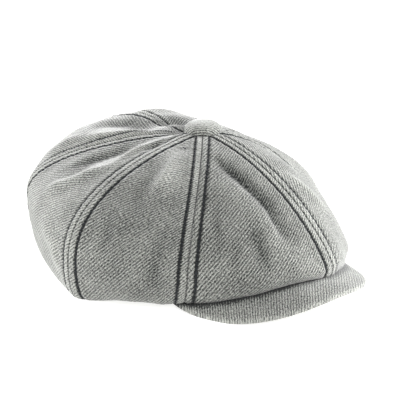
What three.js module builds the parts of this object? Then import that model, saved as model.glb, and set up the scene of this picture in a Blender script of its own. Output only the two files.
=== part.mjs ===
import * as THREE from "three";

// Eight-panel cloth cap with a covered button and a short arched peak, resting on a flat surface.
// Millimetres, +Z up, the peak towards -Y and the wearer's right side towards -X.

// Driving sizes
const CROWN_RADIUS = 140;
const CROWN_HEIGHT = 104;
const CLOTH = 2;
const GAP = 0.3;

// Head opening: an oval whose middle lies ahead of the button and to the wearer's right of it,
// because the soft crown has slumped that way
const OPENING_WIDTH = 160;
const OPENING_LENGTH = 200;
const OPENING_AHEAD = 15;
const OPENING_ASIDE = 15;
const BAND_HEIGHT = 24;

// Peak: a stiff cloth-covered board, arched from side to side
const PEAK_THICK = 3.5;
const PEAK_RISE = 17;
const PEAK_SLOPE = 11;
const PEAK_ARCH_RADIUS = 111;
const PEAK_HALF_WIDTH = 80;
const PEAK_REACH = 161;
const PEAK_WIDEST = 72;
const PEAK_CORNER_POWER = 2.3;
const PEAK_ROOT_ANGLE = 74;
const PEAK_RIM_ANGLE = 101;
const PEAK_CLIMB = 35;
const PEAK_RIM_CHAMFER = 1.2;

// Button: a covered disc, domed above and hollowed a little below, over a small hole in the crown
const BUTTON_WIDTH = 30;
const BUTTON_HEIGHT = 7.5;
const BUTTON_TILT = 1.5;
const BUTTON_LIP = 0.3;
const BUTTON_FLAT_SHARE = 0.5;
const BUTTON_EDGE_SHARE = 0.93;
const BUTTON_SIDE_POWER = 0.8;
const BUTTON_DOME_POWER = 0.9;
const CROWN_HOLE = 5;

// Share of a seam's drift that is reached at its furthest point, and how late it sets in
const DRIFT_AT_WAIST = 0.75;
const DRIFT_POWER = 1.5;

// Mesh fineness
const PANEL_COLUMNS = 10;
const TOP_ROWS = 15;
const SIDE_ROWS = 5;
const UNDER_ROWS = 3;
const OUTLINE_STEPS = 60;
const FOLD_STEPS = 12;
const PEAK_COLUMNS = 30;
const PEAK_ROWS = 7;
const PEAK_ROW_POWER = 1.5;
const BAND_SEGMENTS = 64;
const BUTTON_SEGMENTS = 28;
const BUTTON_STEPS = 7;

// One row per seam, from the middle of the front round by the wearer's right.
// turn and drift: degrees from the front at the button, and how far it has moved on by the foot.
// reach and foot: furthest point and floor line, as shares of the crown's radius.
// waist: height of the furthest point, as a share of the crown's height.
// dome and shoulder: powers of the curve from the button to the furthest point.
const SEAMS = [
  { turn: 0, drift: 0, reach: 1.0, waist: 0.28, dome: 1.9, shoulder: 1.25, foot: 0.975 },
  { turn: 45, drift: 6, reach: 0.89, waist: 0.24, dome: 1.8, shoulder: 1.6, foot: 0.845 },
  { turn: 90, drift: 0, reach: 1.007, waist: 0.264, dome: 1.75, shoulder: 2.6, foot: 0.943 },
  { turn: 135, drift: 0, reach: 1.0, waist: 0.51, dome: 1.45, shoulder: 2.2, foot: 0.85 },
  { turn: 180, drift: 0, reach: 0.93, waist: 0.5, dome: 3, shoulder: 2.8, foot: 0.8 },
  { turn: 225, drift: 0, reach: 0.88, waist: 0.43, dome: 1.5, shoulder: 1.8, foot: 0.77 },
  { turn: 270, drift: 0, reach: 0.78, waist: 0.25, dome: 1.45, shoulder: 1.5, foot: 0.74 },
  { turn: 315, drift: 5, reach: 0.75, waist: 0.2, dome: 2.1, shoulder: 1.1, foot: 0.69 },
];

// One row per panel, in the same order, all as shares of the crown's radius: how far it bows out
// between its two seams at its furthest point and at its foot, and how far it puffs up all over.
const PANELS = [
  { name: "panel_front_right", bow: 0.04, foot_bow: 0.03, puff: 0 },
  { name: "panel_side_front_right", bow: -0.01, foot_bow: -0.04, puff: 0.01 },
  { name: "panel_side_back_right", bow: -0.02, foot_bow: -0.05, puff: 0 },
  { name: "panel_back_right", bow: 0, foot_bow: 0, puff: 0.02 },
  { name: "panel_back_left", bow: 0, foot_bow: 0, puff: 0.01 },
  { name: "panel_side_back_left", bow: 0, foot_bow: 0, puff: 0.01 },
  { name: "panel_side_front_left", bow: 0, foot_bow: 0, puff: 0.02 },
  { name: "panel_front_left", bow: 0, foot_bow: 0.04, puff: 0.03 },
];

// Folds and dents in the cloth, each a ridge or hollow along a path of two or three places.
// around: seam number plus the share of the panel after it.
// down: share of the way from the button to the foot.
// height (negative for a hollow) and width: shares of the crown's radius.
const FOLDS = [
  { around: [2.45, 2.4, 2.24], down: [0.09, 0.23, 0.35], height: 0.02, width: 0.042 },
  { around: [2.24, 2.4, 2.58], down: [0.35, 0.49, 0.61], height: 0.022, width: 0.045 },
  { around: [2.55, 2.6, 2.55], down: [0.2, 0.36, 0.52], height: -0.028, width: 0.06 },
  { around: [2.33, 2.22], down: [0.13, 0.22], height: -0.016, width: 0.04 },
  { around: [2.4, 2.2, 2.13], down: [0.7, 0.72, 0.8], height: 0.016, width: 0.045 },
  { around: [3.33, 3.6, 3.5], down: [0.18, 0.31, 0.43], height: -0.036, width: 0.065 },
  { around: [3.17, 3.14, 3.25], down: [0.17, 0.27, 0.5], height: 0.018, width: 0.05 },
  { around: [3.27, 3.17], down: [0.5, 0.6], height: 0.018, width: 0.055 },
  { around: [1.5, 1.42], down: [0.22, 0.43], height: 0.018, width: 0.05 },
  { around: [1.64, 1.56], down: [0.33, 0.5], height: -0.016, width: 0.05 },
  { around: [0.67, 0.42, 0.3], down: [0.22, 0.33, 0.46], height: -0.024, width: 0.042 },
  { around: [0.3, 0.26], down: [0.44, 0.63], height: -0.016, width: 0.045 },
  { around: [0.53, 0.5], down: [0.53, 0.7], height: -0.014, width: 0.045 },
  { around: [7.77, 7.6], down: [0.36, 0.6], height: 0.014, width: 0.045 },
  { around: [4.6, 4.2, 3.7], down: [0.17, 0.18, 0.2], height: -0.05, width: 0.085 },
  { around: [4.4, 3.8, 2.9], down: [0.08, 0.07, 0.09], height: -0.03, width: 0.07 },
  { around: [4.6, 4.0], down: [0.36, 0.35], height: 0.022, width: 0.06 },
  { around: [4.6, 4.5], down: [0.5, 0.75], height: 0.014, width: 0.06 },
  { around: [5.5, 5.4], down: [0.3, 0.6], height: -0.016, width: 0.06 },
  { around: [6.5, 6.55], down: [0.35, 0.6], height: 0.014, width: 0.06 },
];

const mix = THREE.MathUtils.lerp;
const radians = THREE.MathUtils.degToRad;
const smooth = THREE.MathUtils.smoothstep;

// The value a share of the way along a list of evenly spaced values.
function along(values, share) {
  const step = share * (values.length - 1);
  const index = Math.min(Math.floor(step), values.length - 2);
  return mix(values[index], values[index + 1], step - index);
}

// A point from its distance, its turn from the front and its height.
function around(distance, turn, height) {
  return new THREE.Vector3(
    -distance * Math.sin(radians(turn)),
    -distance * Math.cos(radians(turn)),
    height,
  );
}

// Height of the peak's upper face, which falls to its rim and to the floor on both sides.
function peakTop(x, y) {
  const aside = x + OPENING_ASIDE;
  const slope = (PEAK_REACH + y) * Math.tan(radians(PEAK_SLOPE));
  const arch = PEAK_RISE + slope - (aside * aside) / (2 * PEAK_ARCH_RADIUS);
  return Math.max(arch, PEAK_THICK);
}

// A point of an oval round the head opening, `extra` outside it, at a turn from its front.
function openingPoint(turn, extra) {
  return new THREE.Vector2(
    -OPENING_ASIDE - (OPENING_WIDTH / 2 + extra) * Math.sin(turn),
    -OPENING_AHEAD - (OPENING_LENGTH / 2 + extra) * Math.cos(turn),
  );
}

// How far a point ahead of the button has risen from the floor on to the peak, from 0 to 1.
function onPeak(y) {
  const peakEnd = -openingPoint(radians(PEAK_ROOT_ANGLE), 0).y;
  return smooth(-y, peakEnd - PEAK_CLIMB, peakEnd - CLOTH);
}

// Height of what the crown rests on: the floor, or the peak where there is one.
function restHeight(point) {
  return onPeak(point.y) * (peakTop(point.x, point.y) + GAP);
}

// Distance from the button's axis to the oval head opening, widened by `extra`.
function openingDistance(turn, extra) {
  const halfWidth = OPENING_WIDTH / 2 + extra;
  const halfLength = OPENING_LENGTH / 2 + extra;
  const across = Math.sin(radians(turn)) / halfWidth;
  const along = Math.cos(radians(turn)) / halfLength;
  const a = across ** 2 + along ** 2;
  const b = (across * OPENING_ASIDE) / halfWidth + (along * OPENING_AHEAD) / halfLength;
  const c = (OPENING_ASIDE / halfWidth) ** 2 + (OPENING_AHEAD / halfLength) ** 2 - 1;
  return (b + Math.sqrt(b * b - a * c)) / a;
}

// The seam shape at a place round the crown, blended between its two seams.
function shapeAt(place) {
  const index = Math.floor(place) % SEAMS.length;
  const share = place - Math.floor(place);
  const here = SEAMS[index];
  const next = SEAMS[(index + 1) % SEAMS.length];
  const panel = PANELS[index];
  const shape = {};
  for (const key of Object.keys(here)) shape[key] = mix(here[key], next[key], share);
  if (index === SEAMS.length - 1) shape.turn = mix(here.turn, 360, share);
  const bow = 4 * share * (1 - share);
  shape.reach += panel.bow * bow;
  shape.foot += panel.foot_bow * bow;
  return shape;
}

// Points of a curve at even distances along it.
function evenly(curve, steps) {
  const tension = 0;
  const path = new THREE.CatmullRomCurve3(curve, false, "catmullrom", tension);
  path.arcLengthDivisions = 4 * OUTLINE_STEPS;
  return path.getSpacedPoints(steps);
}

// The crown's outline at a place round it: over the top, down the side, and in to the headband.
function column(place) {
  const shape = shapeAt(place);
  const reach = shape.reach * CROWN_RADIUS;
  const foot = shape.foot * CROWN_RADIUS;
  const waist = shape.waist * CROWN_HEIGHT;
  const footTurn = shape.turn + shape.drift;
  const rest = restHeight(around(foot, footTurn, 0));
  const top = [];
  const side = [];
  const under = [];
  const start = Math.asin((CROWN_HOLE / reach) ** (shape.dome / 2));
  for (let i = 0; i <= OUTLINE_STEPS; i++) {
    const share = i / OUTLINE_STEPS;
    const angle = mix(start, Math.PI / 2, share);
    const distance = reach * Math.sin(angle) ** (2 / shape.dome);
    const height = mix(waist, CROWN_HEIGHT, Math.cos(angle) ** (2 / shape.shoulder));
    const drifted = DRIFT_AT_WAIST * (distance / reach) ** DRIFT_POWER;
    top.push(around(distance, shape.turn + shape.drift * drifted, height));
    const down = (share * Math.PI) / 2;
    const sideDistance = mix(foot, reach, Math.cos(down));
    const sideTurn = shape.turn + shape.drift * mix(DRIFT_AT_WAIST, 1, share);
    side.push(around(sideDistance, sideTurn, mix(waist, rest, Math.sin(down))));
    const inner = openingDistance(footTurn, CLOTH / 2 + GAP);
    const lying = around(mix(foot, inner, share), footTurn, 0);
    lying.z = restHeight(lying);
    under.push(lying);
  }
  return [
    ...evenly(top, TOP_ROWS),
    ...evenly(side, SIDE_ROWS).slice(1),
    ...evenly(under, UNDER_ROWS).slice(1),
  ];
}

// Outward direction at each point of a closed ring of columns.
function ringNormals(ring) {
  return ring.map((points, c) => {
    const after = ring[(c + 1) % ring.length];
    const before = ring[(c + ring.length - 1) % ring.length];
    return points.map((point, r) => {
      const acrossWay = after[r].clone().sub(before[r]);
      const low = points[Math.min(r + 1, points.length - 1)];
      const high = points[Math.max(r - 1, 0)];
      return acrossWay.cross(low.clone().sub(high)).normalize();
    });
  });
}

// A closed wall between two grids of points, the first on its outer face.
function wall(outer, inner) {
  const columns = outer.length;
  const rows = outer[0].length;
  const out = (c, r) => c * rows + r;
  const back = (c, r) => columns * rows + out(c, r);
  const faces = [];
  const quad = (a, b, c, d) => faces.push(a, b, c, a, c, d);
  const right = columns - 1;
  const foot = rows - 1;
  for (let c = 0; c < right; c++)
    for (let r = 0; r < foot; r++) {
      quad(out(c, r), out(c + 1, r), out(c + 1, r + 1), out(c, r + 1));
      quad(back(c, r), back(c, r + 1), back(c + 1, r + 1), back(c + 1, r));
    }
  for (let c = 0; c < right; c++) {
    quad(back(c, 0), back(c + 1, 0), out(c + 1, 0), out(c, 0));
    quad(out(c, foot), out(c + 1, foot), back(c + 1, foot), back(c, foot));
  }
  for (let r = 0; r < foot; r++) {
    quad(out(0, r), out(0, r + 1), back(0, r + 1), back(0, r));
    quad(back(right, r), back(right, r + 1), out(right, r + 1), out(right, r));
  }
  return solid([...outer.flat(), ...inner.flat()], faces);
}

// A solid from its points and its triangles.
function solid(points, faces) {
  const geometry = new THREE.BufferGeometry().setFromPoints(points);
  geometry.setIndex(faces);
  geometry.computeVertexNormals();
  return geometry;
}

// The points along a fold, each with its share of the fold's full height, which fades at both ends.
function foldPath(fold, ring) {
  const path = [];
  for (let i = 0; i <= FOLD_STEPS; i++) {
    const share = i / FOLD_STEPS;
    const place = along(fold.around, share) * PANEL_COLUMNS;
    const row = along(fold.down, share) * (TOP_ROWS + SIDE_ROWS);
    const upper = Math.floor(row);
    const before = ring[Math.floor(place)];
    const after = ring[(Math.floor(place) + 1) % ring.length];
    const high = before[upper].clone().lerp(after[upper], place % 1);
    const low = before[upper + 1].clone().lerp(after[upper + 1], place % 1);
    const strength = Math.sin(Math.PI * mix(0.1, 0.9, share));
    path.push({ point: high.lerp(low, row % 1), strength });
  }
  return path;
}

// How far the folds raise the cloth at a point.
function foldLift(point, folds) {
  let lift = 0;
  for (const { fold, path } of folds) {
    const width = fold.width * CROWN_RADIUS;
    const strengths = path.map((step) => {
      const away = point.distanceTo(step.point) / width;
      return step.strength * Math.exp(-away * away);
    });
    lift += fold.height * CROWN_RADIUS * Math.max(...strengths);
  }
  return lift;
}

// The crown's outer face as a closed ring of columns, puffed and folded.
function crownRing() {
  const count = PANELS.length * PANEL_COLUMNS;
  const ring = [];
  for (let c = 0; c < count; c++) ring.push(column(c / PANEL_COLUMNS));
  const normals = ringNormals(ring);
  const folds = FOLDS.map((fold) => ({ fold, path: foldPath(fold, ring) }));
  const footRow = TOP_ROWS + SIDE_ROWS;
  return ring.map((points, c) => {
    const place = c / PANEL_COLUMNS;
    const share = place - Math.floor(place);
    const puff = PANELS[Math.floor(place)].puff * 4 * share * (1 - share);
    return points.map((point, r) => {
      if (r === 0 || r >= footRow) return point.clone();
      const puffed = CROWN_RADIUS * puff * Math.sin((Math.PI * r) / footRow) ** 2;
      return point.clone().addScaledVector(normals[c][r], puffed + foldLift(point, folds));
    });
  });
}

// One panel: its share of the outer and inner faces, drawn in half a gap at each seam.
function panelGeometry(ring, inner, index) {
  const take = (grid) => {
    const columns = [];
    for (let c = 0; c <= PANEL_COLUMNS; c++)
      columns.push(grid[(index * PANEL_COLUMNS + c) % grid.length].map((p) => p.clone()));
    return columns;
  };
  const outerFace = take(ring);
  const innerFace = take(inner);
  for (const face of [outerFace, innerFace]) {
    drawIn(face[0], face[1]);
    drawIn(face[PANEL_COLUMNS], face[PANEL_COLUMNS - 1]);
  }
  return wall(outerFace, innerFace);
}

// Moves a panel's edge half a gap towards the next column of points.
function drawIn(edge, next) {
  edge.forEach((point, r) => {
    const way = next[r].clone().sub(point).normalize();
    point.addScaledVector(way, GAP / 2);
  });
}

// A point of the peak's rim in plan, from -1 at one end to 1 at the other.
function rimPoint(share) {
  const angle = radians(share * PEAK_RIM_ANGLE);
  const bend = Math.abs(Math.sin(angle)) ** (2 / PEAK_CORNER_POWER);
  return new THREE.Vector2(
    -OPENING_ASIDE - PEAK_HALF_WIDTH * bend * Math.sign(share),
    -PEAK_WIDEST - (PEAK_REACH - PEAK_WIDEST) * Math.cos(angle),
  );
}

// The peak, from its root at the headband out to its chamfered rim.
function peakGeometry() {
  const upper = [];
  const lower = [];
  for (let c = 0; c <= PEAK_COLUMNS; c++) {
    const share = (2 * c) / PEAK_COLUMNS - 1;
    const root = openingPoint(radians(share * PEAK_ROOT_ANGLE), CLOTH / 2 + GAP);
    const rim = rimPoint(share);
    upper.push([]);
    lower.push([]);
    for (let r = 0; r <= PEAK_ROWS; r++) {
      const out = 1 - (1 - r / PEAK_ROWS) ** PEAK_ROW_POWER;
      const { x, y } = root.clone().lerp(rim, out);
      const top = peakTop(x, y);
      const chamfer = r === PEAK_ROWS ? PEAK_RIM_CHAMFER : 0;
      upper[c].push(new THREE.Vector3(x, y, top - chamfer));
      lower[c].push(new THREE.Vector3(x, y, top - PEAK_THICK + chamfer));
    }
  }
  return wall(upper, lower);
}

// The headband, an oval ring that stands on the floor and rises over the root of the peak.
function bandGeometry() {
  const corners = [
    { offset: -CLOTH / 2, lift: 0 },
    { offset: CLOTH / 2, lift: 0 },
    { offset: CLOTH / 2, lift: BAND_HEIGHT },
    { offset: -CLOTH / 2, lift: BAND_HEIGHT },
  ];
  const points = [];
  for (let s = 0; s < BAND_SEGMENTS; s++)
    for (const { offset, lift } of corners) {
      const { x, y } = openingPoint((s / BAND_SEGMENTS) * 2 * Math.PI, offset);
      const base = onPeak(y) * (peakTop(x, y) - PEAK_THICK);
      points.push(new THREE.Vector3(x, y, base + lift));
    }
  const at = (s, k) => (s % BAND_SEGMENTS) * corners.length + (k % corners.length);
  const faces = [];
  for (let s = 0; s < BAND_SEGMENTS; s++)
    for (let k = 0; k < corners.length; k++) {
      faces.push(at(s, k), at(s, k + 1), at(s + 1, k + 1));
      faces.push(at(s, k), at(s + 1, k + 1), at(s + 1, k));
    }
  return solid(points, faces);
}

// The covered button, turned about its own axis.
function buttonGeometry() {
  const radius = BUTTON_WIDTH / 2;
  const profile = [
    new THREE.Vector2(0, 0),
    new THREE.Vector2(radius * BUTTON_FLAT_SHARE, 0),
    new THREE.Vector2(radius * BUTTON_EDGE_SHARE, -BUTTON_LIP),
  ];
  for (let i = 0; i < BUTTON_STEPS; i++) {
    const angle = (i / BUTTON_STEPS) * (Math.PI / 2);
    const out = radius * Math.cos(angle) ** BUTTON_SIDE_POWER;
    profile.push(new THREE.Vector2(out, BUTTON_HEIGHT * Math.sin(angle) ** BUTTON_DOME_POWER));
  }
  profile.push(new THREE.Vector2(0, BUTTON_HEIGHT));
  const button = new THREE.LatheGeometry(profile, BUTTON_SEGMENTS);
  return button.rotateX(Math.PI / 2 + radians(BUTTON_TILT));
}

const cap = new THREE.Group();
const cloth = { color: 0x8f918c, roughness: 0.95, metalness: 0 };

function add(name, geometry) {
  const mesh = new THREE.Mesh(geometry, new THREE.MeshStandardMaterial(cloth));
  mesh.name = name;
  cap.add(mesh);
  return mesh;
}

const outerRing = crownRing();
const normals = ringNormals(outerRing);
const innerRing = outerRing.map((points, c) =>
  points.map((point, r) => point.clone().addScaledVector(normals[c][r], -CLOTH)),
);
PANELS.forEach((panel, index) => add(panel.name, panelGeometry(outerRing, innerRing, index)));
add("peak", peakGeometry());
add("headband", bandGeometry());
add("button", buttonGeometry()).position.z = CROWN_HEIGHT + GAP;

const box = new THREE.Box3().setFromObject(cap);
const middle = box.getCenter(new THREE.Vector3());
cap.position.set(-middle.x, -middle.y, -box.min.z);

export default cap;
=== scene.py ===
import math

import bpy
import numpy as np
from mathutils import Matrix, Vector


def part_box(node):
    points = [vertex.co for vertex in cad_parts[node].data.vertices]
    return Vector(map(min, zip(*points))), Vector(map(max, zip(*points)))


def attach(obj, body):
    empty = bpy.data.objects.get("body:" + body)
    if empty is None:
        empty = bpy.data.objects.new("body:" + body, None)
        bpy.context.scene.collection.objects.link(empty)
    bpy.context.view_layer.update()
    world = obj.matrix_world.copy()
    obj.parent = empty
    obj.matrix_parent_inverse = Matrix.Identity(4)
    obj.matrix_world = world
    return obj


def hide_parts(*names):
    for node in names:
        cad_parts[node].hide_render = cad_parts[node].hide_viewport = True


# Eight-panel cloth cap in coarse washed twill. Sizes are in millimetres and become metres in the meshes.

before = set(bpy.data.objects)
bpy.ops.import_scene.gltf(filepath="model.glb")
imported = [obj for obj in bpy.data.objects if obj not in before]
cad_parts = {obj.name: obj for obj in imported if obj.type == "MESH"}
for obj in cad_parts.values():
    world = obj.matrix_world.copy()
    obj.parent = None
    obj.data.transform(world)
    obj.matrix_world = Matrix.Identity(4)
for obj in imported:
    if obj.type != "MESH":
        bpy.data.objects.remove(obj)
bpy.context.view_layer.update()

MM = 0.001
SEED = 7

# Driving sizes, the same as in the part's source. Angles are in degrees.
CROWN_RADIUS = 140
CROWN_HEIGHT = 104
CLOTH = 2
GAP = 0.3
OPENING_WIDTH = 160
OPENING_LENGTH = 200
OPENING_AHEAD = 15
OPENING_ASIDE = 15
BAND_HEIGHT = 24
PEAK_THICK = 3.5
PEAK_RISE = 17
PEAK_SLOPE = 11
PEAK_ARCH_RADIUS = 111
PEAK_HALF_WIDTH = 80
PEAK_REACH = 161
PEAK_WIDEST = 72
PEAK_CORNER_POWER = 2.3
PEAK_ROOT_ANGLE = 74
PEAK_RIM_ANGLE = 101
PEAK_CLIMB = 35
BUTTON_WIDTH = 30
BUTTON_HEIGHT = 7.5
BUTTON_TILT = 1.5
BUTTON_LIP = 0.3
BUTTON_EDGE_SHARE = 0.93
BUTTON_FLAT_SHARE = 0.5
BUTTON_SIDE_POWER = 0.8
BUTTON_DOME_POWER = 0.9
CROWN_HOLE = 5
DRIFT_AT_WAIST = 0.75
DRIFT_POWER = 1.5

# Fineness of the meshes, and the number of parts in which distances to a line are worked out
NEARNESS_PARTS = 40
PANEL_COLUMNS = 100
EDGE_CROWDING = 1.6
TOP_ROWS = 120
SIDE_ROWS = 40
UNDER_ROWS = 14
FOOT_ROW = TOP_ROWS + SIDE_ROWS
OUTLINE_STEPS = 90
FOLD_STEPS = 12
PEAK_COLUMNS = 150
PEAK_ROWS = 46
PEAK_ROW_POWER = 1.5
BUTTON_COLUMNS = 96
BUTTON_ROWS = 26
BAND_COLUMNS = 240
BAND_ROWS = 24

# Sewing. A row of topstitching runs STITCH_LINE from its seam. It closes in on the seam towards the
# button and moves away from it towards the foot, by the two spreads. A stitch lies STITCH_LIFT above
# the cloth and is turned by up to STITCH_SLANT radians. A row starts at FIRST_STITCH_ROW, or further
# down, where STITCH_ROOM is left between a panel's own two rows.
STITCH_LINE = 6.3
LINE_SPREAD_AT_BUTTON = 0.78
LINE_SPREAD_AT_FOOT = 1.13
STITCH_PITCH = 3.4
STITCH_LENGTH = 2.7
STITCH_LIFT = 0.12
STITCH_SLANT = 0.12
STITCH_SEGMENTS = 8
STITCH_RINGS = 5
FINE_STITCH = 1.0
HEAVY_STITCH = 1.25
BAND_STITCH = 0.6
FIRST_STITCH_ROW = 4
STITCH_ROOM = 0.4

# How far the visual cloth stays above the floor
CLEARANCE = 0.2

# Relief over the seam allowances: the raised cloth, the seam, the stitch line and the swell beyond it
ALLOWANCE_HEIGHT = 0.7
ALLOWANCE_EDGE = STITCH_LINE - 0.6
ALLOWANCE_END = STITCH_LINE + 1.2
SEAM_DEPTH = 0.8
SEAM_WIDTH = 0.7
LINE_DEPTH = 0.8
LINE_WIDTH = 1.0
SWELL_HEIGHT = 0.35
SWELL_PLACE = STITCH_LINE + 3.2
SWELL_WIDTH = 2.4

# Pucker along the stitch lines, with a pitch that wanders
PUCKER_HEIGHT = 0.22
PUCKER_PITCH = 8.5
PUCKER_WIDTH = 4
PUCKER_WANDER = 2.2
PUCKER_WANDER_LENGTH = 19

# Ripples of the soft cloth between the seams
RIPPLE_COUNT = 9
RIPPLE_SHORTEST = 16
RIPPLE_LONGEST = 46
RIPPLE_HEIGHT = 0.16
RIPPLES_FROM = 3
RIPPLES_FULL = 14

# Rows beside the button and the foot where all relief fades out
FADE_AT_BUTTON = 8
FADE_AT_FOOT = 4

# A fold's height follows a sine over half a turn, of which this share is cut off at either end.
FOLD_END = 0.1

# Tone of the cloth on folds and creases, lighter on ridges and darker in hollows, partly wear and partly
# painted light and shade, and the painted shade where a panel's foot lies on the peak
FOLD_WEAR_AND_SHADE = 0.6
CREASE_WEAR_AND_SHADE = 2
FOOT_SHADE = 8.0
FOOT_SHADE_WIDTH = 2.2

# One row per seam, from the middle of the front round by the wearer's right.
# turn and drift: degrees from the front at the button, and how far it has moved on by the foot.
# reach and foot: furthest point and floor line, as shares of the crown's radius.
# waist: height of the furthest point, as a share of the crown's height.
# dome and shoulder: powers of the curve from the button to the furthest point.
# soft: how wide and dark the hollows of its two stitch lines are, from 0 to 1. Their dark is partly
# painted shade.
SEAM_COLUMNS = ("turn", "drift", "reach", "waist", "dome", "shoulder", "foot", "soft")
TURN = SEAM_COLUMNS.index("turn")
SOFT = SEAM_COLUMNS.index("soft")
SEAMS = np.array(
    [
        (0, 0, 1.0, 0.28, 1.9, 1.25, 0.975, 0.2),
        (45, 6, 0.89, 0.24, 1.8, 1.6, 0.845, 1.0),
        (90, 0, 1.007, 0.264, 1.75, 2.6, 0.943, 0.5),
        (135, 0, 1.0, 0.51, 1.45, 2.2, 0.85, 0.3),
        (180, 0, 0.93, 0.5, 3, 2.8, 0.8, 0.3),
        (225, 0, 0.88, 0.43, 1.5, 1.8, 0.77, 0.3),
        (270, 0, 0.78, 0.25, 1.45, 1.5, 0.74, 0.4),
        (315, 5, 0.75, 0.2, 2.1, 1.1, 0.69, 0.3),
    ]
)

# One row per panel, in the same order, as shares of the crown's radius.
PANELS = (
    {"name": "panel_front_right", "bow": 0.04, "foot_bow": 0.03, "puff": 0},
    {"name": "panel_side_front_right", "bow": -0.01, "foot_bow": -0.04, "puff": 0.01},
    {"name": "panel_side_back_right", "bow": -0.02, "foot_bow": -0.05, "puff": 0},
    {"name": "panel_back_right", "bow": 0, "foot_bow": 0, "puff": 0.02},
    {"name": "panel_back_left", "bow": 0, "foot_bow": 0, "puff": 0.01},
    {"name": "panel_side_back_left", "bow": 0, "foot_bow": 0, "puff": 0.01},
    {"name": "panel_side_front_left", "bow": 0, "foot_bow": 0, "puff": 0.02},
    {"name": "panel_front_left", "bow": 0, "foot_bow": 0.04, "puff": 0.03},
)

# Folds and dents, each from one place to another. around: seam number plus the share of the panel
# after it. down: share of the way from the button to the foot. height and width: shares of the radius.
FOLDS = (
    {"around": (2.45, 2.4, 2.24), "down": (0.09, 0.23, 0.35), "height": 0.02, "width": 0.042},
    {"around": (2.24, 2.4, 2.58), "down": (0.35, 0.49, 0.61), "height": 0.022, "width": 0.045},
    {"around": (2.55, 2.6, 2.55), "down": (0.2, 0.36, 0.52), "height": -0.028, "width": 0.06},
    {"around": (2.33, 2.22), "down": (0.13, 0.22), "height": -0.016, "width": 0.04},
    {"around": (2.4, 2.2, 2.13), "down": (0.7, 0.72, 0.8), "height": 0.016, "width": 0.045},
    {"around": (3.33, 3.6, 3.5), "down": (0.18, 0.31, 0.43), "height": -0.036, "width": 0.065},
    {"around": (3.17, 3.14, 3.25), "down": (0.17, 0.27, 0.5), "height": 0.018, "width": 0.05},
    {"around": (3.27, 3.17), "down": (0.5, 0.6), "height": 0.018, "width": 0.055},
    {"around": (1.5, 1.42), "down": (0.22, 0.43), "height": 0.018, "width": 0.05},
    {"around": (1.64, 1.56), "down": (0.33, 0.5), "height": -0.016, "width": 0.05},
    {"around": (0.67, 0.42, 0.3), "down": (0.22, 0.33, 0.46), "height": -0.024, "width": 0.042},
    {"around": (0.3, 0.26), "down": (0.44, 0.63), "height": -0.016, "width": 0.045},
    {"around": (0.53, 0.5), "down": (0.53, 0.7), "height": -0.014, "width": 0.045},
    {"around": (7.77, 7.6), "down": (0.36, 0.6), "height": 0.014, "width": 0.045},
    {"around": (4.6, 4.2, 3.7), "down": (0.17, 0.18, 0.2), "height": -0.05, "width": 0.085},
    {"around": (4.4, 3.8, 2.9), "down": (0.08, 0.07, 0.09), "height": -0.03, "width": 0.07},
    {"around": (4.6, 4.0), "down": (0.36, 0.35), "height": 0.022, "width": 0.06},
    {"around": (4.6, 4.5), "down": (0.5, 0.75), "height": 0.014, "width": 0.06},
    {"around": (5.5, 5.4), "down": (0.3, 0.6), "height": -0.016, "width": 0.06},
    {"around": (6.5, 6.55), "down": (0.35, 0.6), "height": 0.014, "width": 0.06},
)

# Finer creases that only the visual cloth has, in the same columns
CREASES = (
    {"around": (2.42, 2.3), "down": (0.1, 0.3), "height": 0.008, "width": 0.02},
    {"around": (2.32, 2.58), "down": (0.38, 0.6), "height": 0.007, "width": 0.02},
    {"around": (2.62, 2.7), "down": (0.3, 0.55), "height": -0.008, "width": 0.03},
    {"around": (2.35, 2.25), "down": (0.15, 0.22), "height": -0.012, "width": 0.025},
    {"around": (3.12, 3.2), "down": (0.2, 0.45), "height": 0.007, "width": 0.02},
    {"around": (1.5, 1.45), "down": (0.24, 0.4), "height": 0.006, "width": 0.022},
    {"around": (1.75, 1.68), "down": (0.5, 0.7), "height": -0.005, "width": 0.03},
    {"around": (1.25, 1.3), "down": (0.55, 0.8), "height": -0.006, "width": 0.035},
    {"around": (0.68, 0.44, 0.34), "down": (0.2, 0.31, 0.44), "height": -0.011, "width": 0.018},
    {"around": (0.33, 0.29), "down": (0.4, 0.6), "height": -0.011, "width": 0.018},
    {"around": (0.5, 0.47), "down": (0.56, 0.7), "height": -0.006, "width": 0.022},
    {"around": (0.82, 0.76), "down": (0.47, 0.62), "height": -0.006, "width": 0.022},
    {"around": (0.7, 0.62), "down": (0.6, 0.85), "height": -0.005, "width": 0.03},
    {"around": (7.75, 7.65), "down": (0.38, 0.55), "height": 0.007, "width": 0.02},
)


def mix(low, high, share):
    """From the low value at a share of 0 to the high value at 1."""
    return low + (high - low) * share


def smooth(value, low, high):
    """From 0 at the low value to 1 at the high one, without a corner at either end."""
    share = np.clip((value - low) / (high - low), 0, 1)
    return share * share * (3 - 2 * share)


def bump(value, middle, width):
    """1 at the middle, falling off on both sides over the width."""
    return np.exp(-(((value - middle) / width) ** 2))


def twice(values):
    """Values for the corners of both faces of a wall."""
    return np.r_[values.ravel(), values.ravel()]


def around(distance, turn, height):
    """Points at a distance from the crown's axis, turned from the front by the wearer's right."""
    turn = np.radians(turn)
    return np.stack(
        np.broadcast_arrays(-distance * np.sin(turn), -distance * np.cos(turn), height), -1
    )


# Peak and head opening
def peak_top(x, y):
    """Height of the peak's upper face."""
    aside = x + OPENING_ASIDE
    slope = (PEAK_REACH + y) * math.tan(math.radians(PEAK_SLOPE))
    arch = PEAK_RISE + slope - aside**2 / (2 * PEAK_ARCH_RADIUS)
    return np.maximum(arch, PEAK_THICK)


def opening_point(turn, extra):
    """Points in plan on the oval of the head opening, made wider by the extra. The turn is in radians."""
    return np.stack(
        [
            -OPENING_ASIDE - (OPENING_WIDTH / 2 + extra) * np.sin(turn),
            -OPENING_AHEAD - (OPENING_LENGTH / 2 + extra) * np.cos(turn),
        ],
        -1,
    )


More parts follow.
